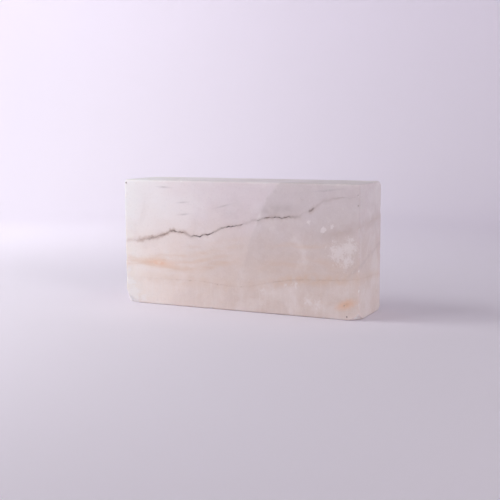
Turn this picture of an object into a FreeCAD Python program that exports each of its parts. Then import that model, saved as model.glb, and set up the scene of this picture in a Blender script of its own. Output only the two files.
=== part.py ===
import FreeCAD, Part
import math
import os

# A sawn brick of natural rock salt. Three salt beds lie on each other along two wavy partings, and
# the clay films, the brown streak, the stringers, the ochre lens, the iron nodule and the dark
# grains are separate solids that fill pockets in those beds.
#
# Millimetres. X runs along the length, Y through the thickness with the front face at -Y, and Z up.
# The origin is the middle of the base.

# Driving dimensions
LENGTH = 200.0
THICKNESS = 50.0
HEIGHT = 100.0
ARRIS_RADIUS = 1.5

# How far a parting runs past the faces of the brick, so that it cuts right through.
OVERRUN = 12.0

# How much wider than the break itself the tool is that cuts a broken corner.
WIDER = 4

HALF_LENGTH = LENGTH / 2
HALF_THICKNESS = THICKNESS / 2
LEFT = -HALF_LENGTH - OVERRUN
RIGHT = HALF_LENGTH + OVERRUN

# Corners and arrises are named by the signs of X, Y and Z from the middle of the brick: -1 in Z is
# the base, and a 0 is the direction an arris runs in.

# Broken corners: the corner, and how far the break reaches from it along X, Y and Z.
BROKEN_CORNERS = [
    ((-1, -1, -1), (15.0, 4.5, 8.0)),
    ((-1, -1, -1), (6.0, 6.0, 13.0)),
    ((1, -1, -1), (8.0, 11.0, 5.0)),
    ((1, -1, -1), (4.0, 6.0, 8.0)),
    ((1, 1, 1), (6.0, 5.0, 4.0)),
    ((-1, -1, 1), (2.5, 3.0, 2.5)),
    ((-1, 1, 1), (4.0, 3.0, 5.0)),
    ((-1, 1, -1), (7.0, 4.0, 4.0)),
    ((1, 1, -1), (3.5, 5.0, 4.0)),
]

# Nicks in the arrises: the arris, how far along it from its middle, and the nick's depth and length.
NICKS = [
    ((1, 1, 0), 28.0, 0.9, 8.0),
    ((1, 1, 0), -4.0, 0.7, 6.0),
    ((1, -1, 0), 17.0, 0.6, 6.0),
    ((-1, -1, 0), -13.0, 0.8, 7.0),
    ((-1, -1, 0), -29.0, 0.7, 6.0),
    ((-1, 1, 0), 9.0, 0.8, 8.0),
    ((0, 1, 1), 34.0, 0.8, 8.0),
    ((0, 1, -1), -52.0, 0.9, 9.0),
]

# Partings and the brown streak: their line on the front plane and on the back plane, as (x, z).
CLAY_PARTING = (
    [
        (LEFT, 49.5), (-90.0, 52.5), (-70.0, 55.5), (-54.0, 61.8), (-38.0, 57.6), (-23.0, 58.8),
        (-13.0, 64.4), (0.0, 66.6), (14.0, 71.0), (30.0, 74.6), (52.0, 75.5), (62.0, 81.0),
        (72.0, 88.2), (90.0, 91.6), (RIGHT, 93.0),
    ],
    [(LEFT, 45.0), (-60.0, 51.0), (-20.0, 58.0), (25.0, 67.5), (70.0, 79.0), (RIGHT, 86.0)],
)
OCHRE_PARTING = (
    [
        (LEFT, 21.5), (-64.0, 20.0), (-28.0, 20.8), (8.0, 19.8), (27.0, 24.6), (52.0, 29.2),
        (76.0, 29.8), (RIGHT, 35.0),
    ],
    [(LEFT, 27.0), (-40.0, 24.0), (20.0, 18.5), (70.0, 23.0), (RIGHT, 31.0)],
)
BROWN_BED = (
    [(LEFT, 66.0), (30.0, 63.5), (52.0, 63.8), (68.0, 61.6), (91.0, 65.0), (RIGHT, 71.0)],
    [(LEFT, 60.0), (30.0, 59.0), (60.0, 63.0), (85.0, 70.0), (RIGHT, 78.0)],
)

# Films on those surfaces: the film's thickness, and its outline from above as (x, y).
OUT = HALF_THICKNESS + OVERRUN
CLAY_FILMS = [
    (1.6, [(LEFT, -OUT), (-44.0, -OUT), (-48.0, -12.0), (-70.0, 3.0), (LEFT, 7.0)]),
    (0.9, [(-42.0, -OUT), (-18.0, -OUT), (-21.0, -8.0), (-34.0, -5.0)]),
    (0.9, [(-15.0, -OUT), (9.0, -OUT), (4.0, -15.0), (-10.0, -11.0)]),
    (0.6, [(14.0, -OUT), (54.0, -OUT), (44.0, -9.0), (22.0, -14.0)]),
    (1.0, [(59.0, -OUT), (67.0, -OUT), (64.0, -19.0)]),
    (0.5, [(74.0, -OUT), (RIGHT, -OUT), (RIGHT, -16.0), (84.0, -18.0)]),
    (1.2, [(-88.0, OUT), (-30.0, OUT), (-38.0, 14.0), (-72.0, 11.0)]),
    (0.8, [(8.0, OUT), (66.0, OUT), (52.0, 9.0), (26.0, 13.0)]),
]
OCHRE_FILMS = [
    (0.7, [(-66.0, -OUT), (-4.0, -OUT), (-14.0, -12.0), (-48.0, -9.0)]),
    (0.9, [(22.0, -OUT), (RIGHT, -OUT), (RIGHT, 4.0), (70.0, -6.0), (36.0, -15.0)]),
    (0.8, [(-84.0, OUT), (-12.0, OUT), (-26.0, 8.0), (-66.0, 12.0)]),
    (0.6, [(30.0, OUT), (78.0, OUT), (60.0, 15.0)]),
]
BROWN_FILMS = [
    (1.3, [(52.0, -OUT), (RIGHT, -OUT), (RIGHT, 23.0), (84.0, 8.0), (64.0, -12.0)]),
]

# Round lenses inside the beds, flat along the bedding: centre, radius, half thickness, and how far
# they lean in degrees, positive where the right side is the higher one.
OCHRE_LENSES = [((-69.0, -21.0, 34.0), 13.0, 3.0, -4.0)]
IRON_NODULES = [((90.0, -22.5, 11.6), 5.2, 2.3, 22.0)]

# Angular bodies that run straight in from the front face: middle of their outline as (x, z), half
# length, half thickness, depth and lean. All have the same outline, stretched to those sizes.
SPLINTER_OUTLINE = [(-1.0, -0.1), (-0.4, 1.0), (0.5, 0.8), (1.0, 0.1), (0.3, -1.0), (-0.5, -0.8)]
DARK_GRAINS = [
    ((88.6, 11.0), 1.5, 1.0, 2.0, 25.0),
    ((90.6, 2.8), 1.1, 1.0, 1.8, 0.0),
    ((98.6, 92.0), 1.2, 0.9, 2.2, 60.0),
    ((98.7, 84.5), 1.2, 1.0, 2.2, 80.0),
    ((-97.8, 97.4), 1.3, 1.1, 2.8, 20.0),
]
STRINGERS = [
    ((-62.8, 94.6), 5.0, 0.6, 4.0, -3.0),
    ((-46.0, 83.0), 4.5, 0.5, 3.5, 4.0),
    ((-45.0, 73.6), 4.5, 0.6, 3.5, 5.0),
    ((-10.0, 81.2), 6.5, 0.6, 5.0, 14.0),
    ((76.0, 95.2), 8.0, 0.6, 6.0, 6.0),
]


def vector(x, y, z):
    return FreeCAD.Vector(x, y, z)


def toward(signs):
    """Corner, or the middle of the sharp arris, that these signs name."""
    return vector(
        signs[0] * HALF_LENGTH,
        signs[1] * HALF_THICKNESS,
        (1 + signs[2]) * HEIGHT / 2,
    )


def corner_break(signs, reach):
    """Prism on the outside of the plane that cuts a corner at these distances along its edges."""
    corner = toward(signs)
    triangle = [
        corner - vector(signs[0] * reach[0], 0, 0),
        corner - vector(0, signs[1] * reach[1], 0),
        corner - vector(0, 0, signs[2] * reach[2]),
    ]
    middle = (triangle[0] + triangle[1] + triangle[2]) * (1 / 3)
    wide = [middle + (point - middle) * WIDER for point in triangle]
    outward = (wide[1] - wide[0]).cross(wide[2] - wide[0]).normalize()
    if outward.dot(corner - middle) < 0:
        outward = -outward
    face = Part.Face(Part.makePolygon(wide + [wide[0]]))
    return face.extrude(outward * max(reach) * WIDER)


def nick(signs, along, depth, length):
    """Ball that takes a shallow bite of this depth and length out of a rounded arris."""
    radius = (length ** 2 / 4 + depth ** 2) / (2 * depth)
    direction = vector(*[1 - abs(sign) for sign in signs])
    outward = vector(*signs).normalize()
    crest = toward(signs) + direction * along - outward * ARRIS_RADIUS * (math.sqrt(2) - 1)
    return Part.makeSphere(radius, crest + outward * (radius - depth))


def sawn_brick():
    """The whole brick, with rounded arrises, broken corners and nicked edges."""
    brick = Part.makeBox(
        LENGTH, THICKNESS, HEIGHT, vector(-HALF_LENGTH, -HALF_THICKNESS, 0)
    )
    brick = brick.makeFillet(ARRIS_RADIUS, brick.Edges)
    for signs, reach in BROKEN_CORNERS:
        brick = brick.cut(corner_break(signs, reach))
    for bite in NICKS:
        brick = brick.cut(nick(*bite))
    return brick


def bedding(lines):
    """Ruled surface from a line on the front plane to a line on the back plane, run on past both."""
    edges = []
    for side, line in zip((-1, 1), lines):
        curve = Part.BSplineCurve()
        curve.interpolate([vector(x, side * OUT, z) for x, z in line])
        edges.append(curve.toShape())
    return Part.makeRuledSurface(edges[0], edges[1])


def above(surface):
    return surface.extrude(vector(0, 0, 2 * HEIGHT))


def films(surface, patches):
    """Thin sheets of a surface, one for each outline, that run on past the faces of the brick."""
    sheets = []
    for thickness, outline in patches:
        slab = surface.translated(vector(0, 0, -thickness / 2)).extrude(
            vector(0, 0, thickness)
        )
        points = [vector(x, y, -HEIGHT) for x, y in outline]
        plan = Part.Face(Part.makePolygon(points + [points[0]]))
        sheets.append(slab.common(plan.extrude(vector(0, 0, 3 * HEIGHT))))
    return sheets


def lens(centre, radius, half_thickness, lean):
    """What two balls share, one from below and one from above: a sharp-edged round lens."""
    ball_radius = (radius ** 2 + half_thickness ** 2) / (2 * half_thickness)
    offset = ball_radius - half_thickness
    upper, lower = [
        Part.makeSphere(ball_radius, vector(0, 0, side * offset), vector(0, 1, 0))
        for side in (-1, 1)
    ]
    shape = upper.common(lower)
    shape.rotate(vector(0, 0, 0), vector(0, 1, 0), -lean)
    return shape.translated(vector(*centre))


def splinter(middle, half_length, half_thickness, depth, lean):
    """Angular body from the front face inwards, with its outline's sides square to that face."""
    outline = [
        vector(u * half_length, -HALF_THICKNESS - OVERRUN, w * half_thickness)
        for u, w in SPLINTER_OUTLINE
    ]
    face = Part.Face(Part.makePolygon(outline + [outline[0]]))
    shape = face.extrude(vector(0, OVERRUN + depth, 0))
    shape.rotate(vector(0, 0, 0), vector(0, 1, 0), -lean)
    return shape.translated(vector(middle[0], 0, middle[1]))


def without(shape, others):
    """The solids that are left of a shape once the others are cut out of it."""
    return shape.cut(others).Solids


def within(shapes, brick):
    """The parts of these shapes that lie in the brick."""
    return [solid for shape in shapes for solid in shape.common(brick).Solids]


def build():
    brick = sawn_brick()
    clay_surface = bedding(CLAY_PARTING)
    ochre_surface = bedding(OCHRE_PARTING)

    # Each of these is made whole, fills its own pocket in the beds, and ends at the brick's faces.
    grains = [splinter(*grain) for grain in DARK_GRAINS]
    bodies = {
        "clay_seam": films(clay_surface, CLAY_FILMS),
        "ochre_seam": films(ochre_surface, OCHRE_FILMS),
        "brown_streak": films(bedding(BROWN_BED), BROWN_FILMS),
        "clay_stringers": [splinter(*stringer) for stringer in STRINGERS],
        "ochre_lens": [lens(*ochre) for ochre in OCHRE_LENSES],
        "iron_nodule": [lens(*nodule).cut(grains) for nodule in IRON_NODULES],
        "dark_grains": grains,
    }
    pockets = [body for group in bodies.values() for body in group]

    over_clay = above(clay_surface)
    over_ochre = above(ochre_surface)
    beds = {
        "upper_bed": brick.common(over_clay),
        "middle_bed": brick.cut(over_clay).common(over_ochre),
        "base_bed": brick.cut(over_ochre),
    }
    parts = {name: without(bed, pockets) for name, bed in beds.items()}
    parts.update({name: within(group, brick) for name, group in bodies.items()})
    return parts


def write(parts):
    os.makedirs("parts", exist_ok=True)
    for name, solids in parts.items():
        shape = solids[0] if len(solids) == 1 else Part.makeCompound(solids)
        shape.exportStep(f"parts/{name}.step")
        volume = sum(solid.Volume for solid in solids)
        print(f"{name}: {len(solids)} solids, {volume:.1f} mm3, valid {shape.isValid()}")


write(build())
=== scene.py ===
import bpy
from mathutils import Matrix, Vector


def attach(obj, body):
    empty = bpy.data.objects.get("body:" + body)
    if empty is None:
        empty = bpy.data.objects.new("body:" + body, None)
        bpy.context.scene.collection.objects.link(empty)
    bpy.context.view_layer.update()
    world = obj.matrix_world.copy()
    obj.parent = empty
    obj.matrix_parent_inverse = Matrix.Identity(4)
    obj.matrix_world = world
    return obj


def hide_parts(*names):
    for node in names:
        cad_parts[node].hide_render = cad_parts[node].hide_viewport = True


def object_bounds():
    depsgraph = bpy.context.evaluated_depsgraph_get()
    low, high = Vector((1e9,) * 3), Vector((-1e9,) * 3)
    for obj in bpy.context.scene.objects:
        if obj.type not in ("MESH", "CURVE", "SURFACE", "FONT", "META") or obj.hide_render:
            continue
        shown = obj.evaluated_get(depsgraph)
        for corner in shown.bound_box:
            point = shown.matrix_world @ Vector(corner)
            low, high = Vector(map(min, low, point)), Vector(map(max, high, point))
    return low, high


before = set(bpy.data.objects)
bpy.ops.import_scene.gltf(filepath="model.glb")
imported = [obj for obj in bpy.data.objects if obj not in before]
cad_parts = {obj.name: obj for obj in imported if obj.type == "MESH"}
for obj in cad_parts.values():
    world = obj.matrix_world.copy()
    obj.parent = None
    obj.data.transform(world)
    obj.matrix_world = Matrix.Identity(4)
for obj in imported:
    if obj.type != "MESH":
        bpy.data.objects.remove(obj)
cad_box = [list(corner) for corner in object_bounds()]

import math

import bmesh
import bpy
import numpy as np
from mathutils import Euler, Vector, noise
from mathutils.bvhtree import BVHTree

# A sawn brick of natural rock salt: three salt beds with clay, ochre and brown films between and in
# them. Lengths below are in millimetres, as in the CAD model, and MM turns them into metres.
MM = 0.001
LOW, HIGH = np.array(cad_box) / MM
MIDDLE = (LOW + HIGH) / 2
HALF = (HIGH - LOW) / 2
FRONT = LOW[1]


# ---------------------------------------------------------------- camera, first of all

# Degrees, and the distance from the middle of the block and the point looked at in mm.
CAMERA_AZIMUTH = 25.57
CAMERA_ELEVATION = 6.90
CAMERA_DISTANCE = 738.4
CAMERA_ROLL = -0.32
CAMERA_LENS = 67.16
LOOKED_AT = (0.4, 0.0, 44.7)


def place_camera():
    """Camera a little above the block and to the right of its front face."""
    data = bpy.data.cameras.new("camera")
    data.lens = CAMERA_LENS
    camera = bpy.data.objects.new("camera", data)
    azimuth, elevation = math.radians(CAMERA_AZIMUTH), math.radians(CAMERA_ELEVATION)
    back = Vector((
        math.sin(azimuth) * math.cos(elevation),
        -math.cos(azimuth) * math.cos(elevation),
        math.sin(elevation),
    ))
    camera.location = (Vector(MIDDLE) + back * CAMERA_DISTANCE) * MM
    sight = Vector(LOOKED_AT) * MM - camera.location
    roll = Euler((0, 0, math.radians(CAMERA_ROLL))).to_matrix()
    camera.rotation_euler = (sight.to_track_quat("-Z", "Y").to_matrix() @ roll).to_euler()
    bpy.context.collection.objects.link(camera)
    bpy.context.scene.camera = camera


place_camera()


# ---------------------------------------------------------------- noise and easing


def noise_at(points, size, kind=noise.noise):
    """Noise from -1 to 1 at these points, with bumps of this size."""
    flat = np.asarray(points, float).reshape(-1, 3) / size
    values = np.array([kind(Vector(point)) for point in flat])
    return values.reshape(np.shape(points)[:-1])


def rough(points, *bumps, kind=noise.noise):
    """Sum of noises at these points, from pairs of the height and the size of their bumps."""
    return sum(height * noise_at(points, size, kind) for height, size in bumps)


def ease(value, low, high):
    """0 below low, 1 above high, and a smooth rise between."""
    t = np.clip((value - low) / (high - low), 0, 1)
    return t * t * (3 - 2 * t)


# ---------------------------------------------------------------- what the CAD frame says


def tree_of(*nodes):
    """Search tree of the surfaces of these CAD nodes, in metres."""
    vertices, faces = [], []
    for node in nodes:
        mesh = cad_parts[node].data
        first = len(vertices)
        vertices += [vertex.co for vertex in mesh.vertices]
        faces += [[first + corner for corner in face.vertices] for face in mesh.polygons]
    return BVHTree.FromPolygons(vertices, faces)


def heights(tree, x, y, upward):
    """Height at which a line up from below, or down from above, first meets the tree; else NaN."""
    found = np.full(x.shape, np.nan)
    way = 1.0 if upward else -1.0
    for place in np.ndindex(x.shape):
        start = Vector((x[place] * MM, y[place] * MM, -way))
        hit = tree.ray_cast(start, Vector((0, 0, way)))[0]
        if hit:
            found[place] = hit.z / MM
    return found


def blurred(grid, reach):
    """Grid smoothed by a bell curve of this reach in steps, along both of its directions."""
    offsets = np.arange(-3 * reach, 3 * reach + 1)
    weights = np.exp(-0.5 * (offsets / reach) ** 2)
    weights /= weights.sum()
    for axis in (0, 1):
        wide = np.moveaxis(grid, axis, 0)
        padded = np.concatenate([
            np.repeat(wide[:1], 3 * reach, 0), wide, np.repeat(wide[-1:], 3 * reach, 0)
        ])
        wide = sum(w * padded[i:i + len(wide)] for i, w in enumerate(weights))
        grid = np.moveaxis(wide, 0, axis)
    return grid


class Layer:
    """A film and the surface that it lies on, read from the CAD nodes on a grid of 1 mm steps."""

    # How far in from the faces the grid starts, how much thickness a film loses to its ragged sides,
    # and the least thickness that is still shown, in mm.
    INSET = 1.0
    LOST = 0.1
    THINNEST = 0.14

    def __init__(self, under, over, jag, swell, taper=None):
        """under and over are the tree and the direction that give the film's lower and upper side.

        jag is how far the film strays up and down, and swell is how many times as thick it looks. If
        taper is given, the film grows from nothing to that between its two x.
        """
        self.jag, self.swell, self.taper = jag, swell, taper
        self.x = np.arange(LOW[0] + self.INSET, HIGH[0] - self.INSET + 0.5)
        self.y = np.arange(LOW[1] + self.INSET, HIGH[1] - self.INSET + 0.5)
        x, y = np.meshgrid(self.x, self.y, indexing="ij")
        low = heights(under[0], x, y, under[1])
        high = heights(over[0], x, y, over[1])
        known = ~np.isnan(low) & ~np.isnan(high)
        middle = np.where(known, (low + high) / 2, 0)
        self.middle = middle if known.all() else self.fitted(x, y, middle, known)
        film = np.where(known, high - low, 0)
        self.film = blurred(np.maximum(film, 0), 2)

    @staticmethod
    def fitted(x, y, z, known):
        """Smooth surface through the known heights that carries on past them."""
        u, v = x / HALF[0], y / HALF[1]
        terms = np.stack([u ** i * v ** j for i in range(4) for j in range(3)], -1)
        best = np.linalg.lstsq(terms[known], z[known], rcond=None)[0]
        return terms @ best

    def sample(self, grid, x, y):
        """Grid values at these places, carried on in a straight line past the grid's edge."""
        i = np.clip(np.floor(x - self.x[0]).astype(int), 0, len(self.x) - 2)
        j = np.clip(np.floor(y - self.y[0]).astype(int), 0, len(self.y) - 2)
        u, v = x - self.x[i], y - self.y[j]
        near = grid[i, j] * (1 - u) + grid[i + 1, j] * u
        far = grid[i, j + 1] * (1 - u) + grid[i + 1, j + 1] * u
        return near * (1 - v) + far * v

    def height(self, x, y):
        """Height of the film's middle, which has small teeth as pressed seams have."""
        teeth = rough(np.stack([x, y, 0 * x], -1), (1.0, 6.0), (0.5, 2.5))
        return self.sample(self.middle, x, y) + self.jag * teeth

    def thickness(self, x, y):
        """Thickness of the film, uneven as clay that was pressed between beds is."""
        points = np.stack([x, y, 0 * x + 9], -1)
        coarse, fine = noise_at(points, 4.0), noise_at(points, 1.9)
        grain = self.swell * (1.0 + 1.1 * coarse + 1.0 * fine)
        film = self.sample(self.film, x, y)
        if self.taper:
            film = film * ease(x, *self.taper)
        return np.maximum(film * grain - self.LOST, 0)


upper, middle, base, brown = [
    tree_of(node) for node in ("upper_bed", "middle_bed", "base_bed", "brown_streak")
]
CLAY = Layer(under=(middle, False), over=(upper, True), jag=1.5, swell=0.72)
OCHRE = Layer(under=(base, False), over=(middle, True), jag=0.3, swell=0.6)
BROWN = Layer(
    under=(brown, True), over=(brown, False), jag=0.4, swell=0.8, taper=(62.0, 86.0)
)
OUTSIDE = tree_of(*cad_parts)


class Inclusion:
    """One solid of a CAD node that lies at the front face, with its lean and its half sizes."""

    def __init__(self, points, reach):
        """reach is how many times its own size its stain is."""
        self.reach = reach
        low, high = points.min(0), points.max(0)
        self.middle = (low + high) / 2
        self.middle[1] = low[1]
        flat = (points - self.middle)[:, [0, 2]]
        self.lean = np.linalg.svd(flat - flat.mean(0), full_matrices=False)[2][0]
        self.lean *= np.sign(self.lean[0])
        self.cross = np.array([-self.lean[1], self.lean[0]])
        self.half = np.array([
            np.abs(flat @ self.lean).max(), np.abs(flat @ self.cross).max(), high[1] - low[1]
        ])

    def local(self, points):
        """Places as shares of the half sizes: along it, across it, and in from the front face."""
        away = points - self.middle
        flat = away[..., [0, 2]]
        return (
            flat @ self.lean / self.half[0], flat @ self.cross / self.half[1],
            away[..., 1] / self.half[2],
        )

    def gap(self, points):
        """About how far these points lie from it, in mm."""
        shares = np.sqrt(sum(share * share for share in self.local(points)))
        outside = np.maximum(1 - 1 / np.maximum(shares, 0.1), 0)
        return np.linalg.norm(points - self.middle, axis=-1) * outside

    def spot(self, u, w, v):
        """The point at these shares of the half sizes."""
        flat = np.outer(u * self.half[0], self.lean) + np.outer(w * self.half[1], self.cross)
        return self.middle + np.stack([flat[:, 0], v * self.half[2], flat[:, 1]], 1)


def inclusions(node, reach):
    """The separate solids of a CAD node."""
    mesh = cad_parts[node].data
    every = np.array([vertex.co for vertex in mesh.vertices]) / MM
    points, same = np.unique(every.round(3), axis=0, return_inverse=True)
    ends = same.ravel()[np.array([edge.vertices for edge in mesh.edges])].T
    label = np.arange(len(points))
    while (label[ends[0]] != label[ends[1]]).any():
        lowest = label[ends].min(0)
        np.minimum.at(label, ends[0], lowest)
        np.minimum.at(label, ends[1], lowest)
    return [Inclusion(points[label == one], reach) for one in np.unique(label)]


OCHRE_LENS = inclusions("ochre_lens", 2.0)[0]
IRON_NODULE = inclusions("iron_nodule", 2.6)[0]
STRINGERS = inclusions("clay_stringers", 2.4)
GRAINS = inclusions("dark_grains", 1.0)


# ---------------------------------------------------------------- wear of the outer faces

# How deep under the faces a point still moves with them.
SKIN = 12.0
# No chip is deeper than this, so a longer way in means that the line slipped through a joint.
DEEPEST_CHIP = 9.0
# Long waves and short ripples that the saw left, as pairs of height and length.
SAW_WAVES = (0.10, 45.0), (0.04, 8.0)
# Spalls reach this far in from an arris. There is one wherever a noise is above SPALL_LIMIT, and it is
# SPALL_DEPTH times as deep as the noise is above that.
SPALL_REACH = 2.5
SPALL_LIMIT = 0.38
SPALL_DEPTH = 1.1
# From the first to the second of these depths, a chip's face turns from sawn to broken.
CHIP_START, CHIP_FULL = 0.75, 1.6
# Rock salt breaks along the faces of its cubes, which lie askew to the sawn faces. The cubes are given
# as pairs of how far they stand out and their size.
CLEAVAGE = np.array(Euler((0.5, 0.35, 0.6)).to_matrix())
CUBES = (0.9, 3.1), (0.5, 1.3)


def weather(points, lift):
    """Moves points of the sharp-edged brick to the worn one, and then out of it by their lift.

    Also says how freshly broken each point is, and how far in from the nearest arris.
    """
    local = points - MIDDLE
    core = np.clip(local, SKIN - HALF, HALF - SKIN)
    out = local - core
    length = np.linalg.norm(out, axis=1)
    skin = length > 0
    out[skin] /= length[skin, None]

    # Pulled in to the outside of the CAD solids, which holds the rounded arrises and the chips.
    pulled = np.zeros(len(points))
    moved = points.copy()
    for i in np.flatnonzero(skin):
        start = Vector((points[i] + out[i] * SKIN) * MM)
        hit = OUTSIDE.ray_cast(start, Vector(-out[i]))[0]
        if hit:
            way = (Vector(points[i] * MM) - hit).length / MM
            inward = np.dot(np.array(hit) / MM - points[i], out[i]) < 0
            if inward and way < DEEPEST_CHIP:
                moved[i] = np.array(hit) / MM
                pulled[i] = way

    # Spalls along the arrises, and cleavage steps where a corner or an edge has broken off.
    inside = np.sort(HALF - np.abs(local), axis=1)
    near_arris = np.clip(1 - inside[:, 1] / SPALL_REACH, 0, 1)
    spall = near_arris * np.maximum(rough(points, (1.0, 5.0), (0.6, 1.7)) - SPALL_LIMIT, 0)
    fresh = np.maximum(ease(pulled, CHIP_START, 1.3), ease(spall, 0.08, 0.3))
    steps = rough(points @ CLEAVAGE, *CUBES, kind=noise.cell)
    broken = ease(pulled, CHIP_START, CHIP_FULL) * (0.45 + 0.6 * steps)
    amount = rough(points, *SAW_WAVES) + SPALL_DEPTH * spall + broken
    amount = amount * np.minimum(length / SKIN, 1) - lift
    return moved - out * amount[:, None], fresh, inside[:, 1]


# ---------------------------------------------------------------- veins and marks in the salt

# How the seams look along the block. For the clay: x in mm, how dark its line is, how strong its
# brown stain is, and how much grey haze lies above it. For the others: x, line and stain.
CLAY_LOOK = [
    (-100, 0.00, 0.25, 0.0),
    (-88, 0.06, 0.80, 0.0),
    (-74, 0.22, 1.00, 0.0),
    (-60, 0.27, 1.00, 0.0),
    (-48, 0.50, 0.80, 0.0),
    (-38, 1.00, 0.30, 0.0),
    (-12, 1.00, 0.25, 0.1),
    (0, 0.55, 0.30, 0.1),
    (12, 0.25, 0.15, 0.0),
    (20, 0.60, 0.35, 0.4),
    (32, 0.60, 0.35, 1.0),
    (42, 1.00, 0.40, 0.9),
    (50, 0.80, 0.20, 0.5),
    (56, 0.15, 0.10, 0.1),
    (60, 0.20, 0.10, 0.0),
    (61, 2.20, 0.60, 0.0),
    (64, 2.20, 0.60, 0.0),
    (65, 0.45, 0.20, 0.0),
    (72, 0.35, 0.20, 0.1),
    (84, 0.10, 0.10, 0.3),
    (100, 0.00, 0.00, 0.0),
]
OCHRE_LOOK = [
    (-100, 0.05, 0.10),
    (-60, 0.20, 0.40),
    (-25, 0.30, 0.35),
    (-8, 0.55, 0.30),
    (10, 0.20, 0.20),
    (27, 0.60, 0.50),
    (48, 0.90, 1.00),
    (78, 0.60, 0.85),
    (100, 0.40, 0.40),
]
BROWN_LOOK = [(50, 0.0, 0.0), (66, 0.3, 0.5), (88, 0.8, 1.0), (100, 0.9, 0.8)]

# Thin laminae in the middle and the base bed: strength, half thickness, and (x, z) on the front face.
# Each fades out over this length at its ends.
LAMINA_FADE = 20
LAMINAE = [
    (1.0, 4.6, [
        (-112, 33.4), (-88, 34.0), (-73, 32.6), (-60, 30.2), (-46, 29.8), (-32, 30.8),
        (-19, 34.6), (-6, 38.4), (10, 40.0),
    ]),
    (0.7, 3.6, [
        (-112, 36.0), (-78, 37.6), (-60, 39.9), (-41, 41.5), (-24, 43.9), (-2, 49.5), (10, 52.0),
    ]),
    (0.7, 3.0, [
        (-90, 31.0), (-70, 36.8), (-55, 36.0), (-40, 35.0), (-20, 40.5), (4, 44.0),
    ]),
    (0.35, 2.6, [(-60, 52.0), (-40, 48.5), (-24, 50.0), (0, 55.5), (20, 58.0)]),
    (0.6, 3.4, [(20, 50.0), (46, 53.6), (58, 52.4), (84, 57.0)]),
    (0.5, 9.0, [(10, 36.0), (40, 38.0), (70, 41.0), (98, 38.0)]),
    (0.5, 2.2, [(55, 10.0), (72, 11.5), (86, 11.0), (99, 14.0)]),
]
# The grey streak that comes down over the right end, as (y, z) there. For each mm into the block it
# lies this much lower.
STREAK_FALL = 0.9
END_STREAK = [(-25.0, 39.5), (-15.8, 42.4), (16.8, 51.1), (25.0, 53.5)]
# Where a lighter mass of salt on the left meets a darker one, as (z, x) on the front face.
BOUNDARY = [
    (0, -14.0), (20.5, -3.8), (28.6, 2.3), (38, 7.0), (51.6, 10.9), (64, 16.0), (76.5, 21.0),
    (87.2, 26.0), (100, 36.0),
]
# How far it moves to the right for each mm that it goes into the block.
BOUNDARY_LEAN = 0.6
# Clusters of white crystals on the front face: x, z, size and how white they are. The last of their
# white is found at FROST_REACH times their size.
FROST_REACH = 1.7
FROST = [
    (84.0, 49.5, 7.5, 0.85),
    (91.5, 53.5, 6.5, 0.95),
    (89.5, 44.0, 5.5, 0.85),
    (80.0, 52.0, 4.0, 0.7),
    (71.9, 66.0, 1.7, 1.7),
    (79.0, 68.6, 1.2, 1.0),
    (60.0, 71.4, 1.5, 0.9),
    (60.0, 11.5, 4.5, 0.62),
    (67.5, 10.0, 4.0, 0.6),
    (42.0, 23.0, 2.2, 0.6),
    (50.0, 23.6, 2.4, 0.65),
    (22.0, 17.0, 4.5, 0.45),
    (-95.0, 17.0, 4.0, 1.0),
    (-97.5, 27.0, 3.0, 0.9),
    (-93.0, 8.0, 7.0, 1.0),
    (-84.0, 4.0, 4.0, 0.8),
    (-94.0, 62.0, 4.0, 0.6),
]


def along(look, x):
    """The columns of a look, at these places along the block."""
    table = np.array(look, float).T
    return [np.interp(x, table[0], column) for column in table[1:]]


def veins(points):
    """Smooth fields over the block that the materials read, by the name of their attribute."""
    x, y, z = points.T
    dip = OCHRE.height(x, y) - OCHRE.height(x, np.full_like(y, FRONT))
    wobble = 0.7 * noise_at(points * (0.4, 0.4, 0.1), 3.0)
    lamina = np.zeros(len(points))
    for strength, half, line in LAMINAE:
        start, end = line[0][0], line[-1][0]
        fading = ease(x, start, start + LAMINA_FADE) * (1 - ease(x, end - LAMINA_FADE, end))
        away = z - dip - np.interp(x, *np.array(line, float).T) + wobble
        lamina = np.maximum(lamina, strength * fading * ease(-np.abs(away), -half, 0))
    boundary = np.interp(z, *np.array(BOUNDARY, float).T) + BOUNDARY_LEAN * (y - FRONT)

    ragged = 1 + 0.55 * noise_at(points, 2.4) + 0.35 * noise_at(points, 1.1)
    frost = np.zeros(len(points))
    for place_x, place_z, size, white in FROST:
        away = points - (place_x, FRONT, place_z)
        distance = np.linalg.norm(away, axis=1) * ragged
        frost = np.maximum(frost, white * (1 - distance / (FROST_REACH * size)))

    lens, nodule = [glow(points, body) for body in (OCHRE_LENS, IRON_NODULE)]
    smudge = np.zeros(len(points))
    for body in STRINGERS:
        smudge = np.maximum(smudge, glow(points, body))

    clay_line, clay_stain, haze = along(CLAY_LOOK, x)
    ochre_line, ochre_stain = along(OCHRE_LOOK, x)
    brown_line, brown_stain = along(BROWN_LOOK, x)
    streak = z - np.interp(y, *np.array(END_STREAK).T) + STREAK_FALL * (HIGH[0] - x)
    # 0 in the lower part of the base bed, 1 from the middle of the block upward.
    tall = ease(z, 18, 55)
    return {
        "seams": [z - CLAY.height(x, y), z - OCHRE.height(x, y), z - BROWN.height(x, y)],
        "lines": [clay_line, ochre_line, brown_line],
        "stains": [clay_stain, ochre_stain, brown_stain],
        "bands": [lamina, tall, x - boundary],
        "marks": [frost, haze, smudge],
        "rust": [lens, nodule, streak],
    }


# How deep light sinks into clear salt, in mm.
SALT_DEPTH = 3.5
# It is less than that at a film or a stone, which would swallow the light, and at an arris, which
# would glow. From there it grows by this share of the distance.
DEPTH_AT_BODY = 0.05
DEPTH_AT_ARRIS = 0.5
DEPTH_GROWTH = 0.3
# The brown film starts at this x.
BROWN_START = 55.0


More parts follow.
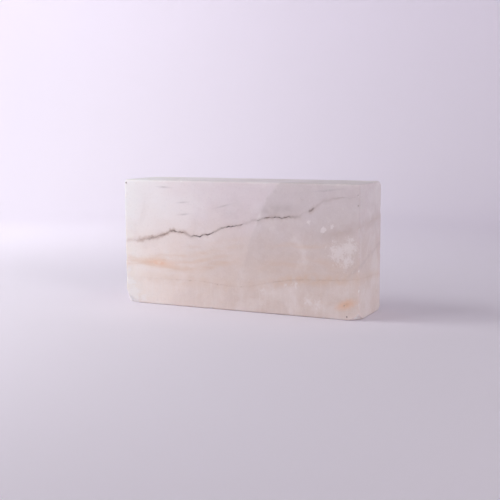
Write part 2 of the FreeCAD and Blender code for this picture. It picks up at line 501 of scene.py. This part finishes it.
def light_depth(points, seams, arris):
    """How deep light sinks in, in mm: less near a film, a stone or an arris."""
    clay, ochre, brown = np.abs(seams)
    clear = np.minimum.reduce([clay, ochre, brown + np.maximum(BROWN_START - points[:, 0], 0)])
    for body in (OCHRE_LENS, IRON_NODULE, *STRINGERS, *GRAINS):
        clear = np.minimum(clear, body.gap(points))
    return np.minimum.reduce([
        DEPTH_AT_BODY + DEPTH_GROWTH * clear,
        DEPTH_AT_ARRIS + DEPTH_GROWTH * arris,
        np.full(clear.shape, SALT_DEPTH),
    ])


def glow(points, body):
    """1 in the middle of an inclusion, falling to 0 at its reach times its size from there."""
    u, w, v = body.local(points)
    return np.maximum(1 - np.sqrt(u * u + w * w + v * v) / body.reach, 0)


# ---------------------------------------------------------------- meshes


# Two faces that meet at more than this angle, in degrees, keep a crisp edge.
CRISP = 38


def make_piece(name, points, faces, material, stands_for, core=0.0, lift=0.0):
    """Piece with this mesh, given in mm before wear, that rides on the block and stands for a node.

    core is how strong a stone's colour is, and lift how far it stands out of the worn face.
    """
    worn, fresh, arris = weather(points, lift)
    mesh = bpy.data.meshes.new(name)
    mesh.from_pydata((worn * MM).tolist(), [], faces.tolist())
    mesh.update()
    fields = veins(worn)
    fields["body"] = [
        fresh, np.broadcast_to(core, fresh.shape), light_depth(worn, fields["seams"], arris)
    ]
    for field, columns in fields.items():
        attribute = mesh.attributes.new(field, "FLOAT_VECTOR", "POINT")
        attribute.data.foreach_set("vector", np.stack(columns, 1).astype(np.float32).ravel())
    mesh.set_sharp_from_angle(angle=math.radians(CRISP))
    mesh.materials.append(material)
    piece = bpy.data.objects.new(name, mesh)
    bpy.context.collection.objects.link(piece)
    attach(piece, "root")
    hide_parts(stands_for)


def spaced(low, high, fine, coarse, margin_low, margin_high):
    """Places from low to high, a fine step apart within the margins and a coarse one between."""
    u = np.linspace(low, high, 2001)
    inward = np.minimum((u - low) / margin_low, (high - u) / margin_high)
    step = fine + (coarse - fine) * ease(inward, 0.8, 1.8)
    count = np.concatenate([[0], np.cumsum(1 / step[1:] * np.diff(u))])
    return np.interp(np.linspace(0, count[-1], math.ceil(count[-1]) + 1), count, u)


# Steps of the meshes, in mm, and with them the columns of nodes along the block and through it.
FINE = 0.45
COARSE = 0.85
COARSE_THROUGH = 1.2
ACROSS = spaced(LOW[0], HIGH[0], FINE, COARSE, 15.0, 10.0)
THROUGH = spaced(LOW[1], HIGH[1], FINE, COARSE_THROUGH, 6.0, 3.0)


def quads(side, flip):
    """Faces between the nodes of a grid, turned over if flip is true."""
    corners = side[:-1, :-1], side[1:, :-1], side[1:, 1:], side[:-1, 1:]
    if flip:
        corners = corners[::-1]
    return np.stack([corner.ravel() for corner in corners], 1)


# The crack that is left on each side of a film, and between two beds where there is none.
CRACK = 0.02


def bed(name, floor, roof, rows, material, stands_for):
    """A salt bed: a block of nodes between two surfaces, with its outer faces worn."""
    x, y, w = np.meshgrid(ACROSS, THROUGH, rows, indexing="ij")
    low, high = floor(x[:, :, 0], y[:, :, 0]), roof(x[:, :, 0], y[:, :, 0])
    z = low[:, :, None] * (1 - w) + high[:, :, None] * w
    inner = np.zeros(x.shape, bool)
    inner[1:-1, 1:-1, 1:-1] = True
    index = np.full(x.shape, -1)
    index[~inner] = np.arange((~inner).sum())
    points = np.stack([axis[~inner] for axis in (x, y, z)], 1)
    faces = np.concatenate([
        quads(index[:, :, 0], True), quads(index[:, :, -1], False),
        quads(index[:, 0, :], False), quads(index[:, -1, :], True),
        quads(index[0, :, :], True), quads(index[-1, :, :], False),
    ])
    make_piece(name, points, faces, material, stands_for)


def flat(height):
    """The bed's surface at the top or the bottom of the block."""
    return lambda x, y: np.full(x.shape, float(height))


def side_of(layer, sign):
    """The bed's surface above (1) or below (-1) a film."""
    return lambda x, y: layer.height(x, y) + sign * (layer.thickness(x, y) / 2 + CRACK)


def levels(height, fine_low, fine_high):
    """Shares of a bed's height for its rows, fine within these margins of its floor and roof."""
    return spaced(0, height, FINE, COARSE, fine_low, fine_high) / height


def sheet(name, layer, proud, material, stands_for):
    """A film as thin closed sheets, one to a patch, proud of the outer faces or set back in them."""
    x, y = np.meshgrid(ACROSS, THROUGH, indexing="ij")
    thickness = layer.thickness(x, y)
    thick = thickness > Layer.THINNEST
    cells = thick[:-1, :-1] & thick[1:, :-1] & thick[1:, 1:] & thick[:-1, 1:]
    # Two cells that touch at a corner only would make a node that two sheets share.
    while True:
        a, b, c, d = cells[:-1, :-1], cells[1:, :-1], cells[1:, 1:], cells[:-1, 1:]
        corner = (a & c & ~b & ~d) | (b & d & ~a & ~c)
        if not corner.any():
            break
        cells[:-1, :-1] &= ~corner
        cells[1:, :-1] &= ~corner

    index = np.arange(x.size).reshape(x.shape)
    kept = cells.ravel()
    top = quads(index, False)[kept]
    edges = np.concatenate([top[:, [i, (i + 1) % 4]] for i in range(4)])
    there = set(map(tuple, edges.tolist()))
    rim = np.array([edge for edge in there if edge[::-1] not in there])
    under = x.size
    faces = np.concatenate([
        top, top[:, ::-1] + under,
        np.stack([rim[:, 1], rim[:, 0], rim[:, 0] + under, rim[:, 1] + under], 1),
    ])
    height = layer.height(x, y)
    grown_x = x + proud * (np.isclose(x, HIGH[0]) * 1.0 - np.isclose(x, LOW[0]))
    grown_y = y + proud * (np.isclose(y, HIGH[1]) * 1.0 - np.isclose(y, LOW[1]))
    points = np.concatenate([
        np.stack([grown_x, grown_y, height + sign * thickness / 2], -1).reshape(-1, 3)
        for sign in (1, -1)
    ])
    used, faces = np.unique(faces, return_inverse=True)
    faces = faces.reshape(-1, 4)
    make_piece(name, points[used], faces, material, stands_for, core=1.0)


# Stones this near the right end and this far up are faint, as if there were salt over them.
FAINT_REACH, FAINT_HEIGHT = 14, 6
FAINT_CORE = 0.5


def pebbles(name, bodies, lumps, proud, material, stands_for, detail=4):
    """Ragged stones at the front face, one for each inclusion, with caps just proud of the face."""
    ball = bmesh.new()
    bmesh.ops.create_icosphere(ball, subdivisions=detail, radius=1.0)
    way = np.array([vertex.co for vertex in ball.verts])
    corners = np.array([[vertex.index for vertex in face.verts] for face in ball.faces])
    ball.free()
    points, faces, cores, lifts = [], [], [], []
    for body in bodies:
        lumpy = noise_at(way + body.middle, 0.6) + 0.5 * noise_at(way - body.middle, 0.25)
        u, w, v = (way * (1 + lumps * lumpy)[:, None]).T
        faces.append(corners + len(way) * len(points))
        points.append(body.spot(u, w, np.maximum(v, 0)))
        lifts.append(proud * np.maximum(-v, -1))
        near_end = body.middle[0] > HIGH[0] - FAINT_REACH
        full = FAINT_CORE if near_end and body.middle[2] > FAINT_HEIGHT else 1.0
        cores.append(ease(1 - np.hypot(u, w), 0.0, 0.9) * full)
    make_piece(
        name, np.concatenate(points), np.concatenate(faces), material, stands_for,
        core=np.concatenate(cores), lift=np.concatenate(lifts),
    )


# ---------------------------------------------------------------- materials


class Recipe:
    """A material's nodes, made by calls that take numbers or sockets and give a socket."""

    def __init__(self, name):
        self.material = bpy.data.materials.new(name)
        self.material.use_nodes = True
        self.tree = self.material.node_tree
        self.shader = self.tree.nodes["Principled BSDF"]
        place = self.node("TexCoord", {}, "Object")
        self.place = self.node(
            "VectorMath", {0: place, "Scale": 1 / MM}, "Vector", operation="SCALE"
        )

    def node(self, kind, inputs, output=0, **settings):
        """Makes a node, feeds its inputs by socket name or number, and gives one of its outputs."""
        made = self.tree.nodes.new("ShaderNode" + kind)
        for key, value in settings.items():
            setattr(made, key, value)
        for key, value in inputs.items():
            self.feed(made.inputs[key], value)
        return made.outputs[output]

    def feed(self, socket, value):
        """Links a socket to this input, or sets it to a number or colour."""
        if isinstance(value, bpy.types.NodeSocket):
            self.tree.links.new(value, socket)
        else:
            socket.default_value = value

    def math(self, operation, *values):
        return self.node("Math", dict(enumerate(values)), operation=operation)

    def times(self, *values):
        """Product of numbers and sockets."""
        result = values[0]
        for value in values[1:]:
            result = self.math("MULTIPLY", result, value)
        return result

    def plus(self, value, share, other):
        """value + share * other"""
        return self.math("MULTIPLY_ADD", other, share, value)

    def ease(self, value, low, high):
        """0 at low, 1 at high, and a smooth rise or fall between."""
        return self.node(
            "MapRange",
            {"Value": value, "From Min": low, "From Max": high},
            interpolation_type="SMOOTHSTEP",
        )

    def line(self, distance, width):
        """1 on the surface that the distance is from, and 0 beyond this width to each side."""
        return self.ease(self.math("ABSOLUTE", distance), width, 0.0)

    def mix(self, share, first, second):
        """Colour that is the first where share is 0 and the second where it is 1."""
        return self.node("Mix", {0: share, 6: first, 7: second}, 2, data_type="RGBA")

    def fields(self, name):
        """The three parts of one of the vein fields that the mesh carries."""
        vector = self.node("Attribute", {}, "Vector", attribute_name=name)
        return [self.node("SeparateXYZ", {0: vector}, axis) for axis in "XYZ"]

    def stretched(self, scale):
        """Places in mm times these three numbers, where less than 1 draws a pattern out."""
        return self.node("Mapping", {"Vector": self.place, "Scale": scale})

    def noise(self, size, vector=None, detail=3.0, roughness=0.55, distortion=0.0):
        """Noise from about 0.25 to 0.75, with bumps of this size in mm."""
        return self.node("TexNoise", {
            "Vector": vector or self.place,
            "Scale": 1 / size,
            "Detail": detail,
            "Roughness": roughness,
            "Distortion": distortion,
        })

    def wave(self, size, height):
        """Noise from about minus this height to plus it."""
        return self.math("MULTIPLY_ADD", self.noise(size, detail=4.0), 4 * height, -2 * height)

    def bump(self, *layers):
        """Bumps from pairs of a height field and its height in mm, one on top of the other."""
        normal = None
        for field, height in layers:
            inputs = {"Height": field, "Distance": height * MM, "Strength": 1.0}
            if normal:
                inputs["Normal"] = normal
            normal = self.node("Bump", inputs)
        return normal


# Milky and clear salt each have a tint at the top of the block and one at its bottom.
MILKY = (0.80, 0.72, 0.75, 1), (0.775, 0.665, 0.615, 1)
CLEAR = (0.62, 0.56, 0.555, 1), (0.66, 0.56, 0.535, 1)
WHITE = (0.96, 0.915, 0.92, 1)
CREAM = (0.97, 0.87, 0.82, 1)
CRUSHED = (0.98, 0.94, 0.95, 1)
GREY = (0.46, 0.41, 0.44, 1)
HAZE = (0.45, 0.38, 0.38, 1)
OCHRE_STAIN = (0.74, 0.54, 0.40, 1)
ORANGE = (0.84, 0.50, 0.30, 1)
BROWN_STAIN = (0.46, 0.32, 0.26, 1)
CLAY_LINE = (0.18, 0.125, 0.11, 1)

# How far red, green and blue light sink into salt, as shares of the depth, and how salt bends light.
SALT_RADIUS = (1.0, 0.93, 0.90)
SALT_IOR = 1.54


def masses(r, upright):
    """Milky salt on the left, made whiter toward the left end partly by painted light, clearer salt on
    the right of a bright fissure, and cloudy patches.

    upright is how strongly white prisms show that stand up across the bed.
    """
    _, tall, boundary = r.fields("bands")
    x, _, z = [r.node("SeparateXYZ", {0: r.place}, axis) for axis in "XYZ"]
    low = r.ease(r.plus(z, 1.0, r.wave(20.0, 8.0)), 92.0, 30.0)
    milky = r.mix(low, *MILKY)
    clear = r.mix(low, *CLEAR)
    # The milky salt grows whiter toward the left end: partly its own milkier tone and partly painted
    # light, for the light that falls on the left end and glows through it.
    colour = r.mix(r.ease(x, 10.0, -120.0), milky, r.mix(low, WHITE, CREAM))
    # The clearer salt lies beyond the boundary, which is made uneven.
    edge = r.plus(boundary, 1.0, r.wave(9.0, 1.4))
    edge = r.plus(edge, 1.0, r.wave(2.6, 0.7))
    right = r.times(r.ease(edge, -1.5, 1.5), r.plus(0.10, 0.30, tall))
    colour = r.mix(right, colour, clear)
    fissure = r.times(r.line(edge, 1.8), r.ease(r.noise(14.0), 0.40, 0.65), tall)
    colour = r.mix(r.times(fissure, 0.28), colour, WHITE)

    cloud = r.noise(30.0, detail=5.0, distortion=0.5)
    colour = r.mix(r.times(r.ease(cloud, 0.50, 0.68), 0.30), colour, WHITE)
    colour = r.mix(r.times(r.ease(cloud, 0.50, 0.32), 0.18), colour, clear)
    if upright:
        prisms = r.noise(2.6, r.stretched((1.0, 1.0, 0.16)), detail=4.0, distortion=0.3)
        colour = r.mix(r.times(r.ease(prisms, 0.50, 0.72), upright), colour, WHITE)
        colour = r.mix(r.times(r.ease(prisms, 0.48, 0.28), upright * 0.3), colour, GREY)
    return colour


def grained(r, colour):
    """Crystals, each a little lighter or darker than the next, and specks between them."""
    jitter = r.node("TexNoise", {"Vector": r.place, "Scale": 0.35}, "Color")
    crystal = r.node("TexVoronoi", {
        "Vector": r.node("VectorMath", {0: r.place, 1: jitter}, operation="ADD"),
        "Scale": 1 / 4.5,
    }, "Color")
    tone = r.node("SeparateXYZ", {0: crystal}, "X")
    colour = r.mix(r.times(tone, 0.10), colour, WHITE)
    speck = r.noise(1.5, detail=4.0, roughness=0.7)
    colour = r.mix(r.times(r.ease(speck, 0.56, 0.72), 0.22), colour, WHITE)
    return r.mix(r.times(r.ease(speck, 0.44, 0.28), 0.14), colour, GREY)


def stained(r, colour):
    """Stains that follow the seams, the laminae and the iron-rich bodies, soft at their edges."""
    clay, ochre, brown = r.fields("seams")
    clay_line, ochre_line, brown_line = r.fields("lines")
    clay_stain, ochre_stain, brown_stain = r.fields("stains")
    lamina, _, _ = r.fields("bands")
    _, haze, smudge = r.fields("marks")
    lens, nodule, streak = r.fields("rust")
    slow, quick = r.wave(9.0, 1.0), r.wave(2.4, 0.7)
    at_end = r.ease(r.node("SeparateXYZ", {0: r.place}, "X"), HIGH[0] - 14, HIGH[0] - 3)
    patch = r.ease(r.noise(6.0, detail=4.0), 0.25, 0.62)
    threads = r.noise(4.0, r.stretched((0.16, 0.16, 1.0)), detail=4.0)

    def stain(colour, distance, width, strength, tint, amount):
        """Patchy tint to this many mm from a surface, where amount is its share at most."""
        way = r.plus(r.plus(distance, 1.0, slow), 1.0, quick)
        share = r.times(r.line(way, width), strength, patch, amount)
        return r.mix(share, colour, tint)

    def outline(colour, distance, width, strength, tint, amount):
        """Thin dark line in the salt along a film."""
        way = r.plus(distance, 0.4, quick)
        return r.mix(r.times(r.line(way, width), strength, amount), colour, tint)

    colour = stain(colour, r.math("SUBTRACT", clay, 5.0), 8.0, haze, HAZE, 0.36)
    colour = stain(colour, clay, 3.4, clay_stain, BROWN_STAIN, 0.66)
    colour = outline(colour, clay, 1.5, clay_line, CLAY_LINE, 0.28)
    banded = r.times(lamina, r.ease(threads, 0.30, 0.66))
    colour = r.mix(r.times(banded, 0.50), colour, OCHRE_STAIN)
    colour = stain(colour, ochre, 6.5, ochre_stain, OCHRE_STAIN, 0.55)
    colour = outline(colour, ochre, 1.1, ochre_line, BROWN_STAIN, 0.16)
    colour = stain(colour, brown, 6.5, brown_stain, BROWN_STAIN, 0.24)
    colour = stain(colour, streak, 3.0, at_end, HAZE, 0.22)
    colour = r.mix(r.times(r.ease(r.plus(smudge, 0.1, quick), 0.1, 0.9), 0.22), colour, GREY)
    warm = r.ease(r.plus(lens, 0.10, quick), 0.0, 0.85)
    colour = r.mix(r.times(warm, 0.36), colour, ORANGE)
    warm = r.ease(r.plus(nodule, 0.12, quick), 0.10, 0.95)
    return r.mix(r.times(warm, 0.60), colour, ORANGE)


def crystals(r, colour):
    """White crystals in feathery clusters, and crushed salt where an edge has broken."""
    frost, _, _ = r.fields("marks")
    fresh, _, _ = r.fields("body")
    feather = r.noise(2.6, detail=5.0, roughness=0.72, distortion=0.9)
    frosty = r.ease(r.plus(r.plus(frost, 1.9, feather), 1.0, -1.32), -0.12, 0.34)
    frosty = r.times(frosty, r.ease(frost, 0.02, 0.25))
    colour = r.mix(r.times(frosty, 0.50), colour, WHITE)
    crushed = r.times(fresh, r.ease(r.noise(1.8, detail=4.0), 0.30, 0.60))
    return r.mix(r.times(crushed, 0.9), colour, CRUSHED), r.math("MAXIMUM", frosty, crushed)


def finished(r, colour, white, translucent):
    """Feeds the shader: sawn faces are matt with glassy patches, and crushed ones are rough.

    white says where the salt is crushed or frosty. Light sinks into the stone if it is translucent.
    """
    r.feed(r.shader.inputs["Base Color"], colour)
    worn = r.ease(r.noise(11.0, detail=6.0, roughness=0.65), 0.35, 0.65)
    roughness = r.math("MULTIPLY_ADD", worn, 0.20, 0.40)
    r.feed(r.shader.inputs["Roughness"], r.plus(roughness, 0.2, white))
    saw = r.noise(0.9, r.stretched((0.12, 1.0, 1.0)), detail=2.0)
    pits = r.ease(r.noise(1.6, detail=3.0), 0.62, 0.72)
    r.feed(r.shader.inputs["Normal"], r.bump(
        (saw, 0.06),
        (r.noise(3.5, detail=6.0, roughness=0.65), 0.25),
        (pits, -0.12),
        (r.times(white, r.noise(1.1, detail=5.0)), 0.25),
    ))
    if translucent:
        _, _, deep = r.fields("body")
        r.shader.inputs["Subsurface Weight"].default_value = 1.0
        r.shader.inputs["Subsurface Radius"].default_value = SALT_RADIUS
        r.feed(r.shader.inputs["Subsurface Scale"], r.times(deep, MM))
    r.shader.inputs["IOR"].default_value = SALT_IOR
    return r.material


def salt(name, upright=0.0):
    """Translucent salt, milky or clear, with every stain and mark that the block has.

    upright is for masses().
    """
    r = Recipe(name)
    colour = stained(r, grained(r, masses(r, upright)))
    colour, white = crystals(r, colour)
    return finished(r, colour, white, True)


def mineral(name, dark, light, grain, look, full):
    """Clay or mineral in the salt: mottled between two colours, it fades into the salt at its ends.

    grain is the size of its mottles in mm. look is the field that says how strong it is, by its name
    and its number there, and where that is about as high as full, no salt shows through.
    """
    r = Recipe(name)
    colour, white = crystals(r, stained(r, grained(r, masses(r, 0.0))))
    mottle = r.noise(grain, detail=5.0, roughness=0.7)
    body = r.mix(r.ease(mottle, 0.36, 0.66), dark, light)
    field, number = look
    strength = r.fields(field)[number]
    share = r.ease(r.plus(strength, 0.7, r.math("SUBTRACT", mottle, 0.5)), 0.02, full)
    return finished(r, r.mix(share, colour, body), white, False)


CLAY_STRENGTH, OCHRE_STRENGTH, BROWN_STRENGTH = [("lines", number) for number in range(3)]
STONE = ("body", 1)

upper_salt = salt("clear_salt")
middle_salt = salt("banded_salt")
base_salt = salt("pink_salt", upright=0.14)
clay = mineral(
    "clay", dark=(0.08, 0.055, 0.05, 1), light=(0.30, 0.20, 0.17, 1),
    grain=2.4, look=CLAY_STRENGTH, full=0.62,
)
ochre_clay = mineral(
    "ochre", dark=(0.60, 0.46, 0.36, 1), light=(0.76, 0.64, 0.56, 1),
    grain=4.0, look=OCHRE_STRENGTH, full=1.4,
)
brown_clay = mineral(
    "brown_stain", dark=(0.60, 0.50, 0.45, 1), light=(0.72, 0.62, 0.57, 1),
    grain=4.0, look=BROWN_STRENGTH, full=1.6,
)
splinter_clay = mineral(
    "grey_clay", dark=(0.57, 0.505, 0.505, 1), light=(0.72, 0.66, 0.67, 1),
    grain=1.6, look=STONE, full=1.6,
)
orange_salt = mineral(
    "orange_salt", dark=(0.86, 0.58, 0.43, 1), light=(0.90, 0.72, 0.61, 1),
    grain=5.0, look=STONE, full=1.2,
)
iron_stone = mineral(
    "iron_stone", dark=(0.52, 0.32, 0.19, 1), light=(0.84, 0.60, 0.43, 1),
    grain=2.2, look=STONE, full=1.0,
)
dark_mineral = mineral(
    "dark_mineral", dark=(0.18, 0.13, 0.12, 1), light=(0.36, 0.27, 0.24, 1),
    grain=0.8, look=STONE, full=0.9,
)


# ---------------------------------------------------------------- the block, piece by piece

# Rough heights of the beds, which set how many rows of nodes they have.
BASE_HEIGHT, MIDDLE_HEIGHT, UPPER_HEIGHT = 24.0, 42.0, 35.0
bed(
    "salt_base", flat(LOW[2]), side_of(OCHRE, -1), levels(BASE_HEIGHT, 12.0, 1.0),
    base_salt, "base_bed",
)
bed(
    "salt_middle", side_of(OCHRE, 1), side_of(CLAY, -1), levels(MIDDLE_HEIGHT, 1.0, 1.0),
    middle_salt, "middle_bed",
)
bed(
    "salt_upper", side_of(CLAY, 1), flat(HIGH[2]), levels(UPPER_HEIGHT, 1.0, 5.0),
    upper_salt, "upper_bed",
)
sheet("clay_film", CLAY, -0.2, clay, "clay_seam")
sheet("ochre_film", OCHRE, -0.05, ochre_clay, "ochre_seam")
sheet("brown_film", BROWN, 0.05, brown_clay, "brown_streak")
pebbles("clay_splinters", STRINGERS, 0.25, 0.10, splinter_clay, "clay_stringers")
pebbles("ochre_body", [OCHRE_LENS], 0.18, 0.10, orange_salt, "ochre_lens")
pebbles("iron_stone", [IRON_NODULE], 0.30, 0.10, iron_stone, "iron_nodule")
pebbles("mineral_grains", GRAINS, 0.35, 0.16, dark_mineral, "dark_grains", 3)


# ---------------------------------------------------------------- stage and light


# The stage is a round dish, in metres: a flat floor to this radius, a bend, and an upright wall. Its
# middle lies this far in front of the block.
STAGE_FLOOR, STAGE_BEND, STAGE_WALL = 1.15, 0.35, 0.9
STAGE_FORWARD = 0.45
STAGE_SPOKES = 96
STAGE_COLOUR = (0.86, 0.81, 0.91, 1)
WORLD_COLOUR = (1.0, 0.94, 0.89, 1)
WORLD_STRENGTH = 0.09
# Round lamps: name, place, the point it faces, diameter, power and colour, in metres and watts.
LAMPS = [
    ("key", (-0.78, -0.30, 0.67), (-0.51, 0.21, -0.89), 0.5, 4.64, (0.97, 1.0, 0.97)),
    ("front", (-0.35, -0.44, 0.31), (0.0, 0.0, 0.05), 0.30, 0.96, (1.0, 1.0, 1.0)),
    ("fill", (1.1, -0.55, 0.32), (0.0, 0.0, 0.05), 0.5, 4.35, (1.0, 0.97, 0.93)),
    ("above", (0.40, 0.14, 1.03), (0.3, 0.1, 0.05), 0.5, 1.40, (1.0, 1.0, 1.0)),
    ("wall", (-0.58, 0.31, 0.56), (-0.66, 1.09, -0.25), 0.5, 1.85, (1.0, 1.0, 1.0)),
]


def dish():
    """Floor and wall in one smooth sheet, turned round an upright axis."""
    profile = [(STAGE_FLOOR * i / 6, 0.0) for i in range(6)]
    for turn in np.linspace(0, math.pi / 2, 32):
        out, up = STAGE_BEND * math.sin(turn), STAGE_BEND * math.cos(turn)
        profile.append((STAGE_FLOOR + out, STAGE_BEND - up))
    profile += [(STAGE_FLOOR + STAGE_BEND, STAGE_BEND + STAGE_WALL * i / 2) for i in (1, 2)]
    vertices = []
    for radius, height in profile:
        for k in range(STAGE_SPOKES):
            angle = 2 * math.pi * k / STAGE_SPOKES
            x, y = radius * math.cos(angle), radius * math.sin(angle)
            vertices.append((x, y - STAGE_FORWARD, height))
    faces = []
    for i in range(len(profile) - 1):
        for k in range(STAGE_SPOKES):
            a, b = i * STAGE_SPOKES + k, i * STAGE_SPOKES + (k + 1) % STAGE_SPOKES
            faces.append((a, b, b + STAGE_SPOKES, a + STAGE_SPOKES))
    mesh = bpy.data.meshes.new("floor")
    mesh.from_pydata(vertices, [], faces)
    mesh.polygons.foreach_set("use_smooth", [True] * len(faces))
    return mesh


def build_stage():
    """Plain pale paper under and behind the block."""
    floor = bpy.data.objects.new("floor", dish())
    bpy.context.collection.objects.link(floor)
    paper = Recipe("paper")
    paper.shader.inputs["Base Color"].default_value = STAGE_COLOUR
    paper.shader.inputs["Roughness"].default_value = 0.9
    floor.data.materials.append(paper.material)


def add_lamp(name, place, target, diameter, power, colour):
    data = bpy.data.lights.new(name, "AREA")
    data.shape = "DISK"
    data.size = diameter
    data.energy = power
    data.color = colour
    lamp = bpy.data.objects.new(name, data)
    lamp.location = place
    way = Vector(target) - Vector(place)
    lamp.rotation_euler = way.to_track_quat("-Z", "Y").to_euler()
    lamp.visible_camera = False
    bpy.context.collection.objects.link(lamp)


def light_stage():
    """Soft studio light that comes mostly from the left, over a dim even one."""
    world = bpy.data.worlds.new("world")
    bpy.context.scene.world = world
    world.use_nodes = True
    background = world.node_tree.nodes["Background"]
    background.inputs["Color"].default_value = WORLD_COLOUR
    background.inputs["Strength"].default_value = WORLD_STRENGTH
    for lamp in LAMPS:
        add_lamp(*lamp)
    bpy.context.scene.view_settings.view_transform = "Standard"


build_stage()
light_stage()
